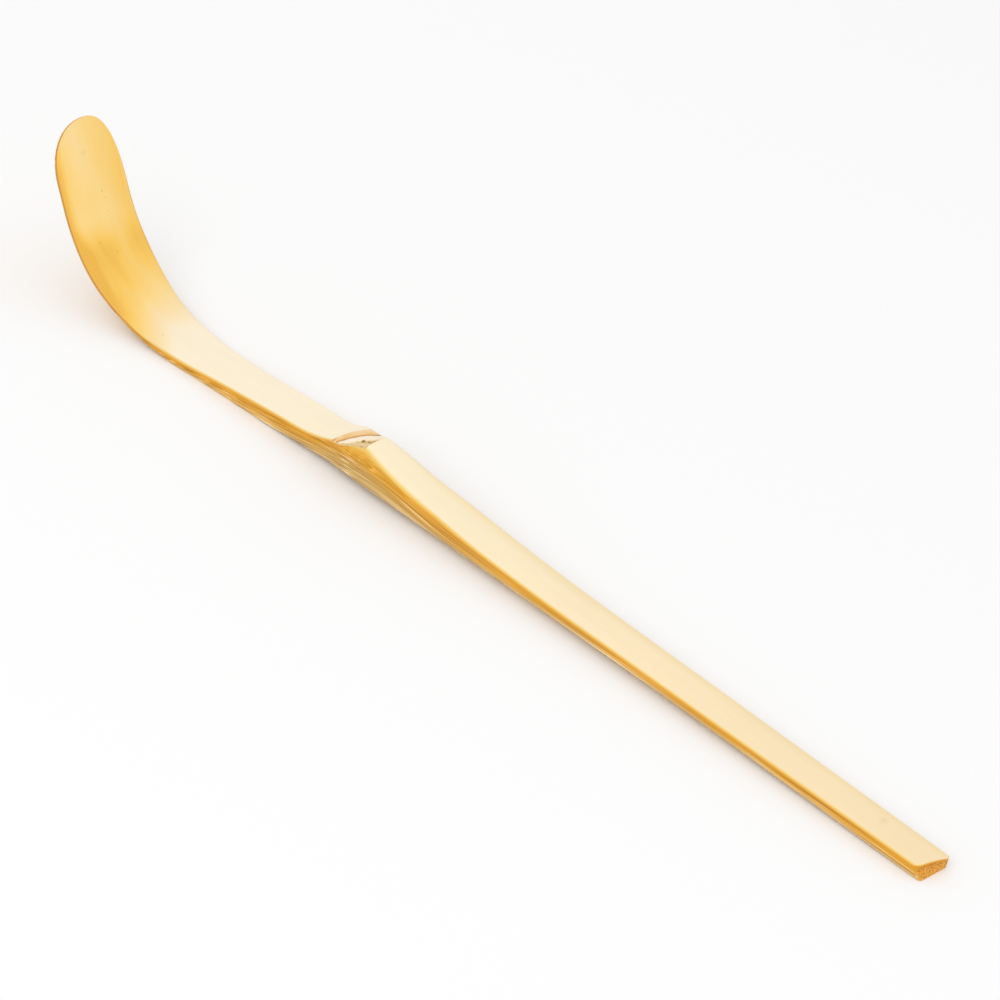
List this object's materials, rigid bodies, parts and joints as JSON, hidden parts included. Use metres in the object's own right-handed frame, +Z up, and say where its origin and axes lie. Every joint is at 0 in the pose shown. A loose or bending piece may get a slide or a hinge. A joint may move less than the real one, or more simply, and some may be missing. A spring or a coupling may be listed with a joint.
{
  "type": "tea scoop",
  "caption": "Bamboo chashaku tea scoop: a slim pared strip with a raised node at mid-length, a tapering handle and a rounded bowl bent up at one end to lift powdered tea.",
  "frame": {"origin": "on the table, under the middle of the length and the width", "axes": "+X along the strip from the cut end of the handle to the tip of the bowl, +Y across the strip, +Z up"},
  "size_m": [0.173, 0.012, 0.0264],
  "materials": {
    "rind": "smooth satin outer rind of seasoned bamboo, toasted golden along the bend",
    "sheath_scar": "pale, ragged scar of the fallen sheath",
    "node_ridge": "smooth ridge with a brown line along each foot",
    "flesh": "pared flesh with fine brown fibre lines along the strip",
    "partition": "pared stub of the cross wall, pith showing"
  },
  "bodies": {
    "root": {"handle_rind": "rind", "bowl_rind": "rind", "sheath_scar": "sheath_scar", "node_ridge": "node_ridge", "handle_flesh": "flesh", "bowl_flesh": "flesh", "node_partition": "partition"}
  },
  "joints": []
}
